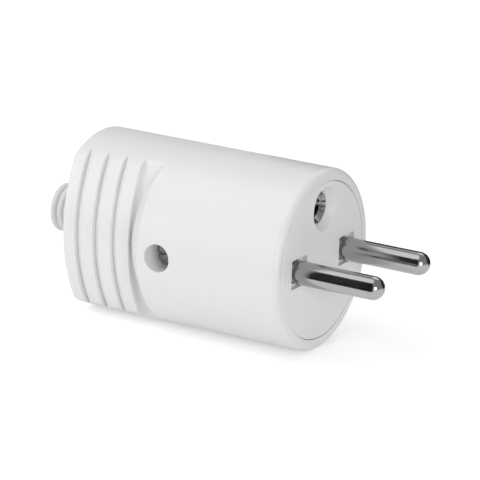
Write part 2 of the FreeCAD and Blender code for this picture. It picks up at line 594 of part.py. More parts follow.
def draw_pin_outline(sketch):
    """Draw half a pin: root, step, free part and round tip."""
    radius = value("pin_radius")
    root = value("pin_root_radius")
    back = -value("head_seat")
    step = value("pin_step")
    bend = value("pin_reach") - radius
    points = [Vector(bend + radius, 0, 0), Vector(back, 0, 0), Vector(back, root, 0), Vector(step, root, 0),
              Vector(step, radius, 0), Vector(bend, radius, 0)]
    lines = [sketch.addGeometry(Part.LineSegment(*ends), False) for ends in zip(points, points[1:])]
    circle = Part.Circle(Vector(bend, 0, 0), Vector(0, 0, 1), radius)
    tip = sketch.addGeometry(Part.ArcOfCircle(circle, 0, math.pi / 2), False)
    for before, after in zip(lines, lines[1:]):
        sketch.addConstraint(Sketcher.Constraint("Coincident", before, 2, after, 1))
    sketch.addConstraint(Sketcher.Constraint("Coincident", lines[-1], 2, tip, 2))
    sketch.addConstraint(Sketcher.Constraint("Coincident", tip, 1, lines[0], 1))
    starts = (("pin_reach", "0"), ("0 - head_seat", "0"), ("0 - head_seat", "pin_root_radius"),
              ("pin_step", "pin_root_radius"), ("pin_step", "pin_radius"))
    for line, (across, up) in zip(lines, starts):
        hold(sketch, "DistanceX", line, 1, formula=across)
        hold(sketch, "DistanceY", line, 1, formula=up)
    hold(sketch, "DistanceX", tip, 3, formula="pin_reach - pin_radius")
    hold(sketch, "DistanceY", tip, 3, formula="0")
    hold(sketch, "DistanceX", tip, 2, formula="pin_reach - pin_radius")


def cut_wire_way(body, end):
    """Cut the square way that the wire and its leaf go into, from the end of a terminal."""
    way = new_sketch(body, "YZ_Plane", f"0 - {end}")
    draw_box(way, "0 - wire_way / 2", "wire_way / 2", "0 - wire_way / 2", "wire_way / 2")
    pocket(body, way, "wire_depth", Reversed=True)


def make_earth_socket():
    """Slotted tube with a flared mouth, a collar and a solid end that takes the wire."""
    body = new_body("earth_socket")
    turned = new_sketch(body, "XY_Plane")
    collar = f"{TUBE_RADIUS} + earth_flange"
    bottom = "0 - earth_setback - earth_bore_depth"
    draw_outline(turned, [("0 - earth_setback - earth_flare", "earth_bore_radius"),
                          ("0 - earth_setback", f"{TUBE_RADIUS} - earth_lip"),
                          ("0 - earth_setback", TUBE_RADIUS),
                          (f"earth_flange_length - {HOUSING_END}", TUBE_RADIUS),
                          (f"earth_flange_length - {HOUSING_END}", collar), (f"0 - {HOUSING_END}", collar),
                          (f"0 - {HOUSING_END}", TUBE_RADIUS), (f"0 - {PILLAR_END}", TUBE_RADIUS),
                          (f"0 - {PILLAR_END}", "0"), (bottom, "0"), (bottom, "earth_bore_radius")])
    revolve(body, turned)
    for plane in ("XY_Plane", "XZ_Plane"):
        slot = new_sketch(body, plane)
        draw_box(slot, "0 - earth_setback - earth_slot_length", "0",
                 "0 - earth_slot_width / 2", "earth_slot_width / 2")
        pocket(body, slot, f"2 * {BARREL_RADIUS}", SideType="Symmetric")
    cut_wire_way(body, PILLAR_END)
    hole = new_sketch(body, "XY_Plane", TUBE_RADIUS)
    draw_circle(hole, f"0 - {EARTH_TERMINAL}", "0", THREAD_HOLE)
    pocket(body, hole, TUBE_RADIUS)
    place(body, z=EARTH_OFFSET, rotation=TOP_TO_PLUS_Y)


def make_spring_ring():
    """Split ring round the slotted tube."""
    body = new_body("earth_spring_ring")
    ring = new_sketch(body, "YZ_Plane", "0 - spring_place")
    draw_circle(ring, "0", "0", f"{TUBE_RADIUS} + spring_wall")
    draw_circle(ring, "0", "0", TUBE_RADIUS)
    pad(body, ring, "spring_width", Reversed=True)
    gap = new_sketch(body, "YZ_Plane", "0 - spring_place")
    draw_box(gap, "0 - spring_gap / 2", "spring_gap / 2", f"0 - {BARREL_RADIUS}", "0")
    pocket(body, gap, "spring_width")
    place(body, z=EARTH_OFFSET)


def make_retaining_plate():
    """Plate behind the terminal housing that keeps the three contacts from moving back."""
    body = new_body("retaining_plate")
    station = f"0 - {HOUSING_END}"
    plate = new_sketch(body, "YZ_Plane", station)
    draw_flat_topped(plate, HOUSING_RADIUS, f"({FLOOR_TOP} + plate_clearance)", HOUSING_HALF_HEIGHT)
    pad(body, plate, "plate_thickness", Reversed=True)
    add_barrel(body, station, "plate_thickness")
    for up, radius in (("0", PLAIN_HOLE), (EARTH_OFFSET, f"{TUBE_RADIUS} + plate_clearance")):
        hole = new_sketch(body, "YZ_Plane", station)
        draw_circle(hole, "0", up, radius)
        pocket(body, hole, "plate_thickness")
    for across in PIN_PLACES.values():
        way = new_sketch(body, "YZ_Plane", station)
        draw_box(way, f"{across} - wire_way / 2", f"{across} + wire_way / 2",
                 "0 - wire_way / 2", "wire_way / 2")
        pocket(body, way, "plate_thickness")


def make_leaf(name, end, **where):
    """Pressure leaf that lies on top of the wire way, with a tab turned up against the terminal's end."""
    body = new_body(f"{name}_wire_leaf")
    side = new_sketch(body, "XZ_Plane")
    rear = f"0 - {end}"
    behind = f"{rear} - leaf_thickness"
    low = f"{LEAF_TOP} - leaf_thickness"
    tab = f"{LEAF_TOP} + leaf_tab"
    front = f"wire_depth - leaf_clearance - {end}"
    draw_outline(side, [(front, LEAF_TOP), (rear, LEAF_TOP), (rear, tab), (behind, tab), (behind, low),
                        (front, low)])
    pad(body, side, "wire_way - 2 * leaf_clearance", SideType="Symmetric")
    place(body, **where)


def make_screw(label, length, **where):
    """Slotted cheese-head screw that stands on the seat of its head, shank down."""
    body = new_body(label)
    turned = new_sketch(body, "XZ_Plane")
    draw_outline(turned, [("0", f"0 - {length}"), ("screw_radius", f"0 - {length}"), ("screw_radius", "0"),
                          ("screw_head_radius", "0"), ("screw_head_radius", "screw_head_height"),
                          ("0", "screw_head_height")])
    revolve(body, turned, axis="V_Axis")
    slot = new_sketch(body, "XY_Plane", "screw_head_height")
    draw_box(slot, "0 - 2 * screw_head_radius", "2 * screw_head_radius",
             "0 - screw_slot_width / 2", "screw_slot_width / 2")
    pocket(body, slot, "screw_slot_depth")
    place(body, **where)


def make_screws():
    """Every screw of the plug, at its seat."""
    for name, across in PIN_PLACES.items():
        make_screw(f"{name}_terminal_screw", f"({PIN_SCREW_SEAT} - {LEAF_TOP})",
                   x=f"0 - {TERMINAL}", y=across, z=PIN_SCREW_SEAT)
    make_screw("earth_terminal_screw", f"({EARTH_SCREW_SEAT} - {LEAF_TOP})",
               x=f"0 - {EARTH_TERMINAL}", y=EARTH_SCREW_SEAT, z=EARTH_OFFSET, rotation=TOP_TO_PLUS_Y)
    make_screw("retaining_plate_screw", "plate_screw_length", x=f"0 - {PILLAR_START}", rotation=TOP_TO_REAR)
    for side, across in (("left", CLAMP_SCREW), ("right", f"0 - {CLAMP_SCREW}")):
        make_screw(f"cord_clamp_screw_{side}", "clamp_screw_length",
                   x=f"0 - {CLAMP_PLACE}", y=across, z="clamp_wing")
    make_screw("sleeve_screw", SIDE_SCREW_LENGTH, x=f"0 - {SIDE_SCREW}", y=f"0 - {SCREW_SEAT}",
               rotation=TOP_TO_MINUS_Y)


def make_nut():
    """Square nut in the tongue's slot."""
    body = new_body("sleeve_nut")
    square = new_sketch(body, "XZ_Plane")
    draw_box(square, "0 - nut_width / 2", "nut_width / 2", "0 - nut_width / 2", "nut_width / 2")
    draw_circle(square, "0", "0", THREAD_HOLE)
    pad(body, square, "nut_thickness", Reversed=True)
    place(body, x=f"0 - {SIDE_SCREW}", y=f"0 - {NUT_NEAR}")


def make_cord_clamp():
    """Strap with an arch over the cord and a wing under each screw."""
    body = new_body("cord_clamp")
    station = f"clamp_width / 2 - {CLAMP_PLACE}"
    half = f"({TONGUE_HALF} - clamp_gap)"
    wings = new_sketch(body, "YZ_Plane", station)
    draw_box(wings, f"0 - {half}", half, "0", "clamp_wing")
    pad(body, wings, "clamp_width", Reversed=True)
    arch = new_sketch(body, "YZ_Plane", station)
    draw_circle(arch, "0", "0", "cord_radius + clamp_arch")
    pad(body, arch, "clamp_width", Reversed=True)
    below = new_sketch(body, "YZ_Plane", station)
    draw_box(below, f"0 - {half}", half, "0 - 2 * cord_radius", "0")
    pocket(body, below, "clamp_width")
    cord = new_sketch(body, "YZ_Plane", station)
    draw_circle(cord, "0", "0", "cord_radius")
    pocket(body, cord, "clamp_width")
    for across in (f"0 - {CLAMP_SCREW}", CLAMP_SCREW):
        hole = new_sketch(body, "XY_Plane", "clamp_wing")
        draw_circle(hole, f"0 - {CLAMP_PLACE}", across, PLAIN_HOLE)
        pocket(body, hole, "clamp_wing")


def make_bushing():
    """Soft bushing: rings outside the rear wall, a neck in it and a collar inside."""
    body = new_body("cable_bushing")
    turned = new_sketch(body, "XY_Plane")
    wall = "(rear_wall - sleeve_length)"
    end = "(0 - sleeve_length - bushing_reach)"
    valley = "(bushing_radius - bushing_valley)"
    collar = "bushing_neck_radius + bushing_flange"
    bevel = "ring_width / 4"
    corners = [(end, "bushing_bore_radius")]
    for ring in range(int(value("bushing_reach") / value("ring_pitch"))):
        start = f"{end} + {ring} * ring_pitch"
        corners += [(start, valley), (f"{start} + {bevel}", "bushing_radius"),
                    (f"{start} + ring_width - {bevel}", "bushing_radius"),
                    (f"{start} + ring_width", valley)]
    corners += [("0 - sleeve_length", valley), ("0 - sleeve_length", "bushing_neck_radius"),
                (wall, "bushing_neck_radius"), (wall, collar), (f"{wall} + bushing_flange_length", collar),
                (f"{wall} + bushing_flange_length", "bushing_bore_radius")]
    draw_outline(turned, corners)
    revolve(body, turned)


def finish():
    """Test every object and sub-part, then write one file for each sub-part."""
    doc.recompute()
    for item in doc.Objects:
        if {"Invalid", "Error"} & set(item.State):
            raise RuntimeError(f"{item.Label} failed: {item.State}")
    os.makedirs("parts", exist_ok=True)
    for body in doc.findObjects("PartDesign::Body"):
        if body.Shape.isNull() or not body.Shape.isValid():
            raise RuntimeError(f"{body.Label} has no valid shape")
        body.Shape.exportStep(f"parts/{body.Label}.step")


fill_sheet()
make_sleeve()
make_carrier()
for side_name, side_place in PIN_PLACES.items():
    make_pin(side_name, side_place)
    make_leaf(side_name, HEAD_END, y=side_place)
make_earth_socket()
make_leaf("earth", PILLAR_END, z=EARTH_OFFSET, rotation=TOP_TO_PLUS_Y)
make_spring_ring()
make_retaining_plate()
make_screws()
make_nut()
make_cord_clamp()
make_bushing()
finish()
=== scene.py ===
"""Looks for a straight rewirable mains plug: finishes, ringed bushing, threaded screws and the stage.

Lengths are in metres, in the frame's own axes: +X along the pins, +Z up towards the earth socket.
"""

import math
from functools import cached_property

import bpy
from bpy.props import FloatProperty, FloatVectorProperty, IntProperty, PointerProperty
from mathutils import Matrix, Vector


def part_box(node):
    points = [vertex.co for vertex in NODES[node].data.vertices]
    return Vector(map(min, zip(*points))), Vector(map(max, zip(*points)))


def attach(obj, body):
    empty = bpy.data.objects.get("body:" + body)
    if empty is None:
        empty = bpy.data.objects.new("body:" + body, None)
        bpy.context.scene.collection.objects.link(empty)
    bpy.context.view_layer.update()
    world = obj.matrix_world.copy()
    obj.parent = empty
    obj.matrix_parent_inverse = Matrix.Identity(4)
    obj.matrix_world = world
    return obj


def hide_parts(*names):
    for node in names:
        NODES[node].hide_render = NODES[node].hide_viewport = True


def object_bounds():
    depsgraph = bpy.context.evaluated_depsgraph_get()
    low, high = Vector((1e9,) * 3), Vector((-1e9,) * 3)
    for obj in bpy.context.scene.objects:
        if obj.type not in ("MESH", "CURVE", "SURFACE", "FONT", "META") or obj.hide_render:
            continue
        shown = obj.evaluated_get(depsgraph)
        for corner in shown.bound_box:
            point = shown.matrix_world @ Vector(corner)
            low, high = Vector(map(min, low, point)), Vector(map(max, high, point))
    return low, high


bl_info = {
    "name": "Straight mains plug",
    "version": (1, 0, 0),
    "blender": (4, 5, 0),
    "location": "View3D > Sidebar > Plug",
    "description": "Dresses the solids of a straight mains plug and sets its stage",
    "category": "Object",
}

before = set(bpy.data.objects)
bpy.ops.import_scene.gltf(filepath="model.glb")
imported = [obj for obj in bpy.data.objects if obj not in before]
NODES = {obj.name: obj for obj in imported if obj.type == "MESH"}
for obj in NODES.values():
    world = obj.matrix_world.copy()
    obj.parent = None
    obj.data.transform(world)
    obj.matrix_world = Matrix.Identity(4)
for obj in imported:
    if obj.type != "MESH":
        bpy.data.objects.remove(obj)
CAD_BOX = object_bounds()
SLEEVE_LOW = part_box("outer_sleeve")[0]
BUSHING_LOW, BUSHING_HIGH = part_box("cable_bushing")

TURN = 2 * math.pi
ALONG_X = Vector((1, 0, 0))

# Edges that bend more than this stay sharp, and points that are nearer than this become one
CREASE = math.radians(40)
WELD = 0.000002

# Power of the rings' section: 2 is an ellipse, and more is fuller
RING_FULLNESS = 3

# Steepness of the thread's flanks, and the radius of the shank's end as a share of the thread's
FLANK_STEEPNESS = 1.5
END_SHARE = 0.7

# Points along the rounded edge of a screw's head
HEAD_EDGE = [math.radians(degrees) for degrees in (0, 30, 60, 90)]

# The way that each screw's head faces, and the turn of its slot
SCREWS = {
    "sleeve_screw": ((0, -1, 0), 1.8),
    "line_terminal_screw": ((0, 0, 1), 0.4),
    "neutral_terminal_screw": ((0, 0, 1), 1.3),
    "earth_terminal_screw": ((0, 1, 0), 0.2),
    "retaining_plate_screw": ((-1, 0, 0), 0.7),
    "cord_clamp_screw_left": ((0, 0, 1), 1.1),
    "cord_clamp_screw_right": ((0, 0, 1), 0.5),
}

# Lamps, by their direction from the plug's middle
LAMPS = {
    "key": {"direction": (0.76, -0.6, 0.23), "distance": 1.2, "size": 0.5},
    "top": {"direction": (-0.35, -0.32, 0.88), "distance": 0.9, "size": 1.2},
    "left": {"direction": (-0.74, -0.62, 0.24), "distance": 0.9, "size": 0.4},
    "back": {"direction": (-0.1, 0.7, 0.7), "distance": 0.9, "size": 0.6},
}

# Dark cards that the pins mirror, by their middle on the floor
DARK_CARDS = {
    "left_card": {"middle": (-0.025, -0.06), "width": 0.13, "height": 0.11},
    "far_card": {"middle": (0.0375, 0.075), "width": 0.185, "height": 0.075},
}

FLOOR_SIZE = 6
NEAR_CLIP = 0.01

# Width of the camera's sensor in millimetres, as its lens is
SENSOR_WIDTH = 36


def colour(name, description, level):
    """A colour that the user can change."""
    return FloatVectorProperty(name=name, description=description, default=level, size=3,
                               subtype="COLOR", min=0, max=1)


def length(name, description, default):
    """A length that the user can change."""
    return FloatProperty(name=name, description=description, default=default, unit="LENGTH", precision=5)


def angle(name, description, degrees):
    """An angle that the user can change."""
    return FloatProperty(name=name, description=description, default=math.radians(degrees), subtype="ANGLE")


def strength(name, description, default):
    """A lamp's power or another level that the user can change."""
    return FloatProperty(name=name, description=description, default=default, min=0)


def count(name, description, default):
    """A number of points that the user can change."""
    return IntProperty(name=name, description=description, default=default, min=4)


class PlugFinishes(bpy.types.PropertyGroup):
    """Colours of the plug's materials, the floor and the cards."""

    shell: colour("Shell", "Glossy moulded sleeve", (0.83, 0.83, 0.83))
    insert: colour("Insert", "Moulded face and contact carrier", (0.83, 0.83, 0.83))
    inner: colour("Inner mouldings", "Retaining plate and cord clamp", (0.72, 0.72, 0.7))
    bushing: colour("Bushing", "Soft ringed bushing", (0.78, 0.78, 0.78))
    nickel: colour("Nickel", "Plated pins and earth tube", (0.425, 0.425, 0.42))
    zinc: colour("Zinc", "Plated screws, nut and leaves", (0.45, 0.45, 0.44))
    floor: colour("Floor", "Plain pale floor", (0.9, 0.9, 0.9))
    card: colour("Card", "Dark cards that the pins mirror", (0.03, 0.03, 0.03))


class PlugBushing(bpy.types.PropertyGroup):
    """Sizes of the ringed bushing behind the sleeve."""

    ring_radius: length("Ring radius", "Over the rings", 0.0051)
    ring_depth: length("Ring depth", "Top of a ring to the valley beside it", 0.00055)
    ring_pitch: length("Ring pitch", "One ring to the next", 0.00165)
    ring_width: length("Ring width", "One ring", 0.00125)
    neck_radius: length("Neck radius", "Inside the sleeve's rear wall", 0.0044)
    neck_length: length("Neck length", "Inside the sleeve's rear wall", 0.0025)
    collar_length: length("Collar length", "Inside the sleeve", 0.0018)
    bore_radius: length("Bore radius", "Hole for the cord", 0.0036)
    stations: count("Stations", "Points along the rings", 140)
    segments: count("Segments", "Points round the bushing", 96)


class PlugScrews(bpy.types.PropertyGroup):
    """Sizes that all the screws share."""

    thread_radius: length("Thread radius", "Over the thread", 0.0015)
    thread_depth: length("Thread depth", "Crest to root", 0.00027)
    thread_pitch: length("Thread pitch", "One turn to the next", 0.0005)
    head_height: length("Head height", "Cheese head", 0.0018)
    head_round: length("Head round", "Rounding of the head's upper edge", 0.0003)
    slot_width: length("Slot width", "Driver slot", 0.0008)
    slot_depth: length("Slot depth", "Driver slot", 0.0009)
    stations: count("Stations", "Points along one turn of the thread", 8)
    segments: count("Segments", "Points round a screw", 40)


class PlugStage(bpy.types.PropertyGroup):
    """Camera and light."""

    distance: length("Distance", "Camera to the middle of the front face, along the view", 0.6)
    azimuth: angle("Azimuth", "Camera round the plug", 30.57)
    elevation: angle("Elevation", "Camera above the pins' plane", 17.63)
    roll: angle("Roll", "Turn of the camera about its view", 1.63)
    lens: FloatProperty(name="Lens", description="Focal length", default=224.8, min=1, unit="CAMERA")
    aim_across: length("Aim across", "Middle of the view from the face's middle", -0.01663)
    aim_up: length("Aim up", "Middle of the view from the face's middle", 0.00408)
    key_power: strength("Key power", "Soft lamp low on the right, before the pins", 4.4)
    top_power: strength("Top power", "Wide soft lamp overhead", 3.4)
    left_power: strength("Left power", "Soft lamp low on the left, before the grip", 1.65)
    back_power: strength("Back power", "Soft lamp behind the plug", 0.9)
    sky_strength: strength("Sky strength", "Even light from all round", 0.4)
    floor_glow: strength("Floor glow", "Lift of the floor to white where it is seen", 0.4)


class Value:
    """A socket of a node tree. Operators on it add Math nodes."""

    def __init__(self, tree, socket):
        self.tree = tree
        self.socket = socket

    def maths(self, operation, *operands):
        """Add one Math node."""
        return self.tree.node("ShaderNodeMath", {"operation": operation}, dict(enumerate(operands)))

    def __add__(self, other):
        return self.maths("ADD", self, other)

    __radd__ = __add__

    def __sub__(self, other):
        return self.maths("SUBTRACT", self, other)

    def __rsub__(self, other):
        return self.maths("SUBTRACT", other, self)

    def __mul__(self, other):
        return self.maths("MULTIPLY", self, other)

    __rmul__ = __mul__

    def __truediv__(self, other):
        return self.maths("DIVIDE", self, other)

    def __rtruediv__(self, other):
        return self.maths("DIVIDE", other, self)

    def __pow__(self, other):
        return self.maths("POWER", self, other)

    def __lt__(self, other):
        return self.maths("LESS_THAN", self, other)

    def __gt__(self, other):
        return self.maths("GREATER_THAN", self, other)

    def __abs__(self):
        return self.maths("ABSOLUTE", self)

    def at_most(self, other):
        """The smaller of the two."""
        return self.maths("MINIMUM", self, other)

    def at_least(self, other):
        """The larger of the two."""
        return self.maths("MAXIMUM", self, other)

    def rounded(self):
        """The nearest whole number."""
        return self.maths("ROUND", self)

    def fraction(self):
        """What is left over from the whole number below."""
        return self.maths("FRACT", self)

    def sine(self):
        """Sine of an angle in radians."""
        return self.maths("SINE", self)

    def cosine(self):
        """Cosine of an angle in radians."""
        return self.maths("COSINE", self)


class Tree:
    """A node tree that is written as expressions."""

    def __init__(self, tree):
        self.tree = tree

    def node(self, kind, settings=None, values=None, result=0):
        """Add a node: its settings first, then a number or link for each of its sockets."""
        node = self.tree.nodes.new(kind)
        for name, setting in (settings or {}).items():
            if name == "stops":
                set_stops(node.color_ramp, setting)
            elif name == "choices":
                set_choices(node.index_switch_items, setting)
            else:
                setattr(node, name, setting)
        for name, value in (values or {}).items():
            if isinstance(value, Value):
                self.tree.links.new(value.socket, node.inputs[name])
            else:
                node.inputs[name].default_value = value
        return Value(self, node.outputs[result]) if node.outputs else None


def set_stops(ramp, stops):
    """Give a colour ramp grey stops, from pairs of place and level."""
    while len(ramp.elements) < len(stops):
        ramp.elements.new(1)
    for element, (place, level) in zip(ramp.elements, stops):
        element.position = place
        element.color = (level, level, level, 1)


def set_choices(items, number):
    """Give an index switch its number of choices."""
    while len(items) < number:
        items.new()


class Finish(Tree):
    """A material with one Principled shader."""

    def __init__(self, name, **constants):
        self.material = bpy.data.materials.new(name)
        self.material.use_nodes = True
        super().__init__(self.material.node_tree)
        for keyword, constant in constants.items():
            self.socket(keyword).default_value = constant

    @cached_property
    def place(self):
        """A point's place on the object."""
        return self.node("ShaderNodeTexCoord", result="Object")

    def socket(self, keyword):
        """The shader's socket that a keyword stands for."""
        return self.tree.nodes["Principled BSDF"].inputs[keyword.replace("_", " ")]

    def feed(self, **values):
        """Link values that vary over the surface to the shader."""
        for keyword, value in values.items():
            self.tree.links.new(value.socket, self.socket(keyword))

    def noise(self, size, detail=2.0, stretch=(1, 1, 1)):
        """Smooth noise with features of a size in metres, drawn out along an axis by a small stretch."""
        place = self.node("ShaderNodeMapping", {}, {"Vector": self.place, "Scale": stretch})
        return self.node("ShaderNodeTexNoise", {}, {"Vector": place, "Scale": 1 / size, "Detail": detail})

    def marks(self, noise, low, high):
        """Keep only the peaks of a noise, as sparse marks."""
        return self.node("ShaderNodeValToRGB", {"stops": [(low, 0), (high, 1)]}, {"Fac": noise})

    def mix(self, factor, first, second):
        """Blend two colours."""
        return self.node("ShaderNodeMix", {"data_type": "RGBA"},
                         {0: factor, 6: (*first, 1), 7: (*second, 1)}, result=2)

    def bump(self, height, depth):
        """Raise the surface by a height from 0 to 1, times a depth in metres."""
        self.feed(Normal=self.node("ShaderNodeBump", {}, {"Height": height, "Distance": depth}))


def shade(tint, factor):
    """A colour made darker or lighter."""
    return tuple(level * factor for level in tint)


def moulded_finish(name, tint, roughness, grain_depth):
    """Moulded plastic: faint flow clouds, fine grain in the gloss and the surface, and hairline scuffs."""
    finish = Finish(name)
    clouds = finish.noise(size=0.011, detail=3)
    swirl = finish.noise(size=0.0024, stretch=(1, 0.35, 0.35))
    grain = finish.noise(size=0.0002, detail=3)
    scuffs = finish.marks(finish.noise(size=0.0007, stretch=(0.06, 1, 1)), low=0.66, high=0.74)
    finish.feed(Base_Color=finish.mix(clouds * 0.6 + swirl * 0.4, shade(tint, 0.975), shade(tint, 1.02)),
                Roughness=roughness + (grain - 0.5) * 0.12 + (swirl - 0.5) * 0.08 + scuffs * 0.1)
    finish.bump(grain * 0.4 + swirl * 0.6 - scuffs * 0.3, depth=grain_depth)
    return finish.material


def turned_finish(name, piece, axis, tint, roughness, ring_pitch):
    """Turned and plated metal: fine rings round the piece's axis, long scuffs and cloudy plating."""
    finish = Finish(name, Metallic=1.0)
    low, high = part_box(piece)
    local = finish.node("ShaderNodeMapping", {}, {"Vector": finish.place, "Location": (low + high) / -2})
    along = finish.node("ShaderNodeVectorMath", {"operation": "DOT_PRODUCT"}, {0: local, 1: axis}, "Value")
    beside = finish.node("ShaderNodeVectorMath", {"operation": "MULTIPLY"},
                         {0: local, 1: [1 - abs(part) for part in axis]})
    away = finish.node("ShaderNodeVectorMath", {"operation": "LENGTH"}, {0: beside}, "Value")
    rings = ((along + away) * (TURN / ring_pitch) + finish.noise(size=0.0014) * 5).sine()
    drawn_out = [1 - 0.97 * abs(part) for part in axis]
    scuffs = finish.marks(finish.noise(size=0.0004, detail=3, stretch=drawn_out), low=0.52, high=0.72)
    plating = finish.noise(size=0.004, detail=4)
    finish.feed(Base_Color=finish.mix(plating * 0.7 + scuffs * 0.3, shade(tint, 0.86), shade(tint, 1.1)),
                Roughness=roughness + (plating - 0.5) * 0.1 + scuffs * 0.08 + rings * 0.02)
    finish.bump(rings * 0.5 + 0.5 + scuffs * 0.4, depth=0.000002)
    return finish.material


def stamped_finish(name, tint, roughness):
    """Stamped and plated metal: cloudy plating, drawn lines and small pits."""
    finish = Finish(name, Metallic=1.0)
    plating = finish.noise(size=0.003, detail=4)
    drawn = finish.noise(size=0.0003, detail=3, stretch=(0.05, 1, 1))
    pits = finish.marks(finish.noise(size=0.00025), low=0.6, high=0.75)
    finish.feed(Base_Color=finish.mix(plating * 0.6 + drawn * 0.4, shade(tint, 0.82), shade(tint, 1.12)),
                Roughness=roughness + (plating - 0.5) * 0.12 + pits * 0.2)
    finish.bump(drawn * 0.6 - pits, depth=0.000006)
    return finish.material


def dress(material, slot, *names):
    """Give CAD nodes their finish."""
    for name in names:
        node = NODES[name]
        node.data.materials.clear()
        node.data.materials.append(material)


class PLUG_OT_sleeve(bpy.types.Operator):
    """Finish the glossy white sleeve with the ribbed grip"""

    bl_idname = "plug.sleeve"
    bl_label = "Sleeve"

    def execute(self, context):
        tint = context.scene.plug_finishes.shell
        plastic = moulded_finish("glossy_shell", tint, roughness=0.34, grain_depth=0.000006)
        dress(plastic, "white_shell", "outer_sleeve")
        return {"FINISHED"}


class PLUG_OT_face(bpy.types.Operator):
    """Finish the contact carrier, whose disc is the plug's face"""

    bl_idname = "plug.face"
    bl_label = "Face"

    def execute(self, context):
        tint = context.scene.plug_finishes.insert
        plastic = moulded_finish("face_plastic", tint, roughness=0.42, grain_depth=0.000008)
        dress(plastic, "white_insert", "contact_carrier")
        return {"FINISHED"}


class PLUG_OT_contacts(bpy.types.Operator):
    """Finish the two pins and the earth tube"""

    bl_idname = "plug.contacts"
    bl_label = "Contacts"

    def execute(self, context):
        tint = context.scene.plug_finishes.nickel
        for name in ("line_pin", "neutral_pin", "earth_socket"):
            metal = turned_finish(f"nickel_{name}", name, ALONG_X, tint, roughness=0.13, ring_pitch=0.00018)
            dress(metal, "nickel", name)
        return {"FINISHED"}


class PLUG_OT_fittings(bpy.types.Operator):
    """Finish the nut, the leaves and the split ring"""

    bl_idname = "plug.fittings"
    bl_label = "Fittings"

    def execute(self, context):
        metal = stamped_finish("stamped_zinc", context.scene.plug_finishes.zinc, roughness=0.34)
        dress(metal, "steel", "sleeve_nut", "earth_spring_ring",
              "line_wire_leaf", "neutral_wire_leaf", "earth_wire_leaf")
        return {"FINISHED"}


class PLUG_OT_inner_mouldings(bpy.types.Operator):
    """Finish the retaining plate and the cord clamp"""

    bl_idname = "plug.inner_mouldings"
    bl_label = "Inner mouldings"

    def execute(self, context):
        tint = context.scene.plug_finishes.inner
        plastic = moulded_finish("inner_plastic", tint, roughness=0.6, grain_depth=0.00001)
        dress(plastic, "inner_plastic", "retaining_plate", "cord_clamp")
        return {"FINISHED"}


class Turning(Tree):
    """Geometry nodes that turn an outline round the X axis. The outline is a row of numbered columns."""

    def __init__(self, name, lengths, counts):
        group = bpy.data.node_groups.new(name, "GeometryNodeTree")
        super().__init__(group)
        group.interface.new_socket("Geometry", in_out="OUTPUT", socket_type="NodeSocketGeometry")
        inputs = {"NodeSocketFloat": lengths, "NodeSocketInt": counts, "NodeSocketMaterial": ("Material",)}
        for kind, names in inputs.items():
            for given in names:
                group.interface.new_socket(given, in_out="INPUT", socket_type=kind)

    def given(self, name):
        """One of the tree's inputs."""
        return self.node("NodeGroupInput", result=name)

    def lay_out(self, columns):
        """Start with a flat grid, number its columns, tell the first from the rest, and measure its turn."""
        self.grid = self.node("GeometryNodeMeshGrid", {}, {
            "Size X": 1.0, "Size Y": 1.0, "Vertices X": columns, "Vertices Y": self.given("Segments") + 1})
        spot = self.node("GeometryNodeInputPosition")
        self.column = ((self.coordinate(spot, "X") + 0.5) * (columns - 1)).rounded()
        self.after_first = self.column > 0.5
        self.turn = (self.coordinate(spot, "Y") + 0.5) * TURN

    def coordinate(self, vector, axis):
        """One coordinate of a vector."""
        return self.node("ShaderNodeSeparateXYZ", {}, {"Vector": vector}, axis)

    def pick(self, number, levels):
        """Pick a level by the number of a corner."""
        choices = {place + 1: level for place, level in enumerate(levels)}
        return self.node("GeometryNodeIndexSwitch", {"data_type": "FLOAT", "choices": len(levels)},
                         {"Index": number, **choices})

    def join(self, along, radius, corners, first_corner):
        """Follow a curved stretch of the outline, and then its corners."""
        number = self.column - first_corner
        curved = number < 0
        place = self.pick(number, [x for x, r in corners])
        reach = self.pick(number, [r for x, r in corners])
        return curved * along + (1 - curved) * place, curved * radius + (1 - curved) * reach

    def turned(self, along, radius):
        """Roll the grid up round the X axis and close it."""
        spot = self.node("ShaderNodeCombineXYZ", {}, {
            "X": along, "Y": radius * self.turn.cosine(), "Z": radius * self.turn.sine()})
        moved = self.node("GeometryNodeSetPosition", {}, {"Geometry": self.grid, "Position": spot})
        return self.node("GeometryNodeMergeByDistance", {}, {"Geometry": moved, "Distance": WELD})

    def end(self, shape):
        """Shade smooth between creases, and hand over the mesh with its material."""
        smooth = self.node("GeometryNodeSetShadeSmooth", {"domain": "FACE"}, {"Geometry": shape})
        sharp = self.node("GeometryNodeInputMeshEdgeAngle") > CREASE
        creased = self.node("GeometryNodeSetShadeSmooth", {"domain": "EDGE"},
                            {"Geometry": smooth, "Selection": sharp, "Shade Smooth": False})
        real = self.node("GeometryNodeRealizeInstances", {}, {"Geometry": creased})
        finished = self.node("GeometryNodeSetMaterial", {},
                             {"Geometry": real, "Material": self.given("Material")})
        self.node("NodeGroupOutput", {}, {"Geometry": finished})
        return self.tree


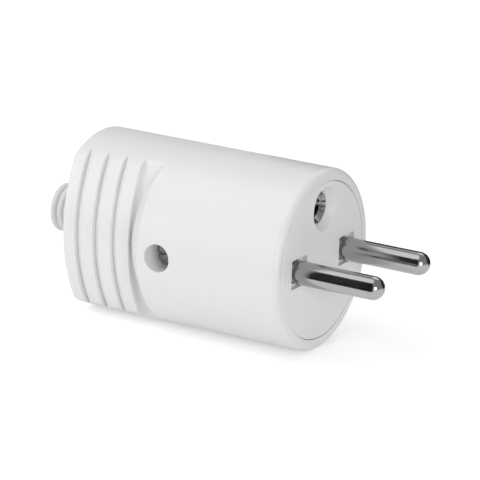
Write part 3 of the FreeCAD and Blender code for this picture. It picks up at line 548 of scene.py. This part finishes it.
def bushing_tree():
    """Rounded rings outside the rear wall, then the bore, the collar and the neck."""
    lengths = ("Rear Face", "End", "Ring Radius", "Ring Depth", "Ring Pitch", "Ring Width", "Neck Radius",
               "Neck Length", "Collar Radius", "Collar Length", "Bore Radius")
    tree = Turning("ringed_bushing", lengths, ("Stations", "Segments"))
    rear, end, pitch, depth = map(tree.given, ("Rear Face", "End", "Ring Pitch", "Ring Depth"))
    bore, neck, collar = map(tree.given, ("Bore Radius", "Neck Radius", "Collar Radius"))
    stations = tree.given("Stations")
    valley = tree.given("Ring Radius") - depth
    inside = rear + tree.given("Neck Length")
    inner_end = inside + tree.given("Collar Length")
    corners = [(end, bore), (inner_end, bore), (inner_end, collar), (inside, collar), (inside, neck),
               (rear, neck), (rear, valley)]
    tree.lay_out(stations + len(corners))
    along = rear + (end - rear) * (tree.column / (stations - 1)).at_most(1)
    across_ring = (((along - end) / pitch).fraction() * pitch / tree.given("Ring Width")).at_most(1)
    bulge = (1 - abs(across_ring * 2 - 1) ** RING_FULLNESS) ** (1 / RING_FULLNESS)
    radius = valley + depth * bulge * tree.after_first
    return tree.end(tree.turned(*tree.join(along, radius, corners, stations)))


def screw_tree():
    """Threaded shank with a bevelled end, and a round head with a driver slot, seated at X = 0."""
    lengths = ("Length", "Thread Radius", "Thread Depth", "Thread Pitch", "Head Radius", "Head Height",
               "Head Round", "Slot Width", "Slot Depth")
    tree = Turning("slotted_screw", lengths, ("Stations", "Segments"))
    reach, stations = map(tree.given, ("Length", "Stations"))
    thread, depth, pitch = map(tree.given, ("Thread Radius", "Thread Depth", "Thread Pitch"))
    head, height, edge = map(tree.given, ("Head Radius", "Head Height", "Head Round"))
    rim = [(height - edge + edge * math.sin(bend), head - edge + edge * math.cos(bend))
           for bend in HEAD_EDGE]
    corners = [(0, thread - depth), (0, head), *rim, (height, 0)]
    tree.lay_out(stations + len(corners))
    along = reach * ((tree.column - 1) / (stations - 2)).at_least(0).at_most(1) - reach
    wave = abs((along / pitch + tree.turn / TURN).fraction() * 2 - 1)
    groove = (wave * FLANK_STEEPNESS - (FLANK_STEEPNESS - 1) / 2).at_least(0).at_most(1)
    bevel = thread * END_SHARE + along + reach
    radius = (thread - depth * groove).at_most(bevel) * tree.after_first
    turned = tree.turned(*tree.join(along, radius, corners, stations))
    slot = tree.node("ShaderNodeCombineXYZ", {}, {
        "X": tree.given("Slot Depth") * 2, "Y": tree.given("Slot Width"), "Z": head * 3})
    cutter = tree.node("GeometryNodeMeshCube", {}, {"Size": slot})
    top = tree.node("ShaderNodeCombineXYZ", {}, {"X": height})
    placed = tree.node("GeometryNodeTransform", {}, {"Geometry": cutter, "Translation": top})
    slotted = tree.node("GeometryNodeMeshBoolean", {"operation": "DIFFERENCE", "solver": "EXACT"},
                        {"Mesh 1": turned, "Mesh 2": placed})
    return tree.end(slotted)


def mesh_from_tree(name, group, inputs):
    """Run geometry nodes on an empty object and keep the result as a plain mesh."""
    piece = bpy.data.objects.new(name, bpy.data.meshes.new(name))
    bpy.context.scene.collection.objects.link(piece)
    modifier = piece.modifiers.new("shape", "NODES")
    modifier.node_group = group
    for socket in group.interface.items_tree:
        if socket.in_out == "INPUT":
            modifier[socket.identifier] = inputs[socket.name]
    evaluated = piece.evaluated_get(bpy.context.evaluated_depsgraph_get())
    mesh = bpy.data.meshes.new_from_object(evaluated)
    piece.modifiers.remove(modifier)
    if not mesh.polygons:
        raise RuntimeError(f"{name} came out empty")
    # The first slot is the empty object's own
    mesh.materials.pop(index=0)
    piece.data = mesh
    return piece


def stand_for(piece, node):
    """Let a piece take the place of a CAD node."""
    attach(piece, "root")
    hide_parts(node)


def titled(settings):
    """Sizes of a property group under the names of a tree's inputs."""
    names = type(settings).__annotations__
    return {name.replace("_", " ").title(): getattr(settings, name) for name in names}


class PLUG_OT_bushing(bpy.types.Operator):
    """Make the soft ringed bushing"""

    bl_idname = "plug.bushing"
    bl_label = "Bushing"

    def execute(self, context):
        tint = context.scene.plug_finishes.bushing
        inputs = titled(context.scene.plug_bushing)
        inputs |= {"Rear Face": SLEEVE_LOW.x, "End": BUSHING_LOW.x, "Collar Radius": BUSHING_HIGH.y,
                   "Material": moulded_finish("soft_bushing", tint, roughness=0.5, grain_depth=0.000012)}
        stand_for(mesh_from_tree("ringed_bushing", bushing_tree(), inputs), "cable_bushing")
        return {"FINISHED"}


def screw_place(name, head_side, head_height):
    """Where a screw's head is seated, how far its shank reaches from there, and its head's radius."""
    low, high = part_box(name)
    total = abs((high - low).dot(head_side))
    seat = (low + high) / 2 + head_side * (total / 2 - head_height)
    # Two of the box's sides are the head's diameter, so the middle one is
    return seat, total - head_height, sorted(high - low)[1] / 2


class PLUG_OT_screws(bpy.types.Operator):
    """Make the threaded screws, each where its solid is"""

    bl_idname = "plug.screws"
    bl_label = "Screws"

    def execute(self, context):
        sizes = context.scene.plug_screws
        tint = context.scene.plug_finishes.zinc
        tree = screw_tree()
        for name, (facing, slot_turn) in SCREWS.items():
            head_side = Vector(facing)
            seat, reach, head_radius = screw_place(name, head_side, sizes.head_height)
            metal = turned_finish(f"zinc_{name}", name, head_side, tint, roughness=0.3, ring_pitch=0.0002)
            inputs = titled(sizes)
            inputs |= {"Length": reach, "Head Radius": head_radius, "Material": metal,
                       "Stations": round(reach / sizes.thread_pitch * sizes.stations)}
            piece = mesh_from_tree(f"threaded_{name}", tree, inputs)
            face = ALONG_X.rotation_difference(head_side).to_matrix().to_4x4()
            piece.data.transform(Matrix.Translation(seat) @ face @ Matrix.Rotation(slot_turn, 4, "X"))
            stand_for(piece, name)
        return {"FINISHED"}


def floor_finish(tint, glow):
    """Pale floor that keeps shadows and lifts to white where it is seen, straight or in a reflection."""
    finish = Finish("pale_floor", Roughness=0.9, Base_Color=(*tint, 1), Emission_Strength=1.0)
    camera, glossy, through = (finish.node("ShaderNodeLightPath", result=f"Is {ray} Ray")
                               for ray in ("Camera", "Glossy", "Transmission"))
    seen = camera.at_least(glossy).at_least(through)
    finish.feed(Emission_Color=finish.mix(seen, (0, 0, 0), (glow, glow, glow)))
    return finish.material


def add_floor(tint, glow):
    """Lay a wide floor under the sleeve."""
    bpy.ops.mesh.primitive_plane_add(size=FLOOR_SIZE, location=(0, 0, SLEEVE_LOW.z))
    floor = bpy.context.object
    floor.name = "floor"
    floor.data.materials.append(floor_finish(tint, glow))


def add_sky(level):
    """Even pale light from all round."""
    world = bpy.data.worlds.new("soft_sky")
    bpy.context.scene.world = world
    world.use_nodes = True
    sky = world.node_tree.nodes["Background"]
    sky.inputs["Color"].default_value = (1, 1, 1, 1)
    sky.inputs["Strength"].default_value = level


def add_dark_card(name, tint, middle, width, height):
    """Stand a dark card on the floor, which only metal and gloss show."""
    bpy.ops.mesh.primitive_plane_add(size=1, location=(*middle, SLEEVE_LOW.z + height / 2),
                                     rotation=(math.pi / 2, 0, 0))
    card = bpy.context.object
    card.name = name
    card.scale = (width, height, 1)
    for ray in ("camera", "diffuse", "shadow", "transmission"):
        setattr(card, f"visible_{ray}", False)
    card.data.materials.append(Finish(name, Roughness=1.0, Base_Color=(*tint, 1)).material)


def add_lamp(name, power, direction, distance, size):
    """Add a round soft lamp that looks at the plug's middle."""
    lamp = bpy.data.lights.new(name, "AREA")
    lamp.shape = "DISK"
    lamp.size = size
    lamp.energy = power
    holder = bpy.data.objects.new(name, lamp)
    bpy.context.scene.collection.objects.link(holder)
    middle = (CAD_BOX[0] + CAD_BOX[1]) / 2
    holder.location = middle + Vector(direction).normalized() * distance
    holder.rotation_euler = (holder.location - middle).to_track_quat("Z", "Y").to_euler()


def add_camera(stage):
    """Place the camera from its angles, rolled about its own view."""
    level = Vector((math.cos(stage.azimuth), math.sin(stage.azimuth), 0))
    forward = Vector((-level.y, level.x, 0))
    back = Vector((0, 0, math.sin(stage.elevation))) - forward * math.cos(stage.elevation)
    across = Matrix.Rotation(stage.roll, 3, back) @ level
    up = back.cross(across)
    data = bpy.data.cameras.new("photo_camera")
    data.lens = stage.lens
    data.sensor_width = SENSOR_WIDTH
    data.clip_start = NEAR_CLIP
    camera = bpy.data.objects.new("photo_camera", data)
    bpy.context.scene.collection.objects.link(camera)
    spot = across * stage.aim_across + up * stage.aim_up + back * stage.distance
    camera.matrix_world = Matrix.Translation(spot) @ Matrix((across, up, back)).transposed().to_4x4()
    bpy.context.scene.camera = camera


class PLUG_OT_stage(bpy.types.Operator):
    """Set the floor, the light and the camera"""

    bl_idname = "plug.stage"
    bl_label = "Stage"

    def execute(self, context):
        stage = context.scene.plug_stage
        tints = context.scene.plug_finishes
        add_floor(tints.floor, stage.floor_glow)
        for name, lamp in LAMPS.items():
            add_lamp(f"{name}_lamp", getattr(stage, f"{name}_power"), **lamp)
        add_sky(stage.sky_strength)
        for name, card in DARK_CARDS.items():
            add_dark_card(name, tints.card, **card)
        add_camera(stage)
        context.scene.view_settings.view_transform = "Standard"
        return {"FINISHED"}


OPERATORS = (PLUG_OT_sleeve, PLUG_OT_face, PLUG_OT_contacts, PLUG_OT_fittings, PLUG_OT_inner_mouldings,
             PLUG_OT_bushing, PLUG_OT_screws, PLUG_OT_stage)
GROUPS = {"plug_finishes": PlugFinishes, "plug_bushing": PlugBushing, "plug_screws": PlugScrews,
          "plug_stage": PlugStage}


class PLUG_PT_panel(bpy.types.Panel):
    """The plug's pieces, in the order that they are made"""

    bl_idname = "PLUG_PT_panel"
    bl_label = "Straight mains plug"
    bl_space_type = "VIEW_3D"
    bl_region_type = "UI"
    bl_category = "Plug"

    def draw(self, context):
        for operator in OPERATORS:
            self.layout.operator(operator.bl_idname)
        for name, group in GROUPS.items():
            box = self.layout.box()
            for setting in group.__annotations__:
                box.prop(getattr(context.scene, name), setting)


def register():
    """Add the classes and the scene's settings."""
    for name, group in GROUPS.items():
        bpy.utils.register_class(group)
        setattr(bpy.types.Scene, name, PointerProperty(type=group))
    for item in (*OPERATORS, PLUG_PT_panel):
        bpy.utils.register_class(item)


def unregister():
    """Take away what register added."""
    for item in (PLUG_PT_panel, *reversed(OPERATORS)):
        bpy.utils.unregister_class(item)
    for name, group in GROUPS.items():
        delattr(bpy.types.Scene, name)
        bpy.utils.unregister_class(group)


def main():
    """Make every piece and the stage."""
    register()
    bpy.ops.plug.sleeve()
    bpy.ops.plug.face()
    bpy.ops.plug.contacts()
    bpy.ops.plug.fittings()
    bpy.ops.plug.inner_mouldings()
    bpy.ops.plug.bushing()
    bpy.ops.plug.screws()
    bpy.ops.plug.stage()


if __name__ == "__main__":
    main()
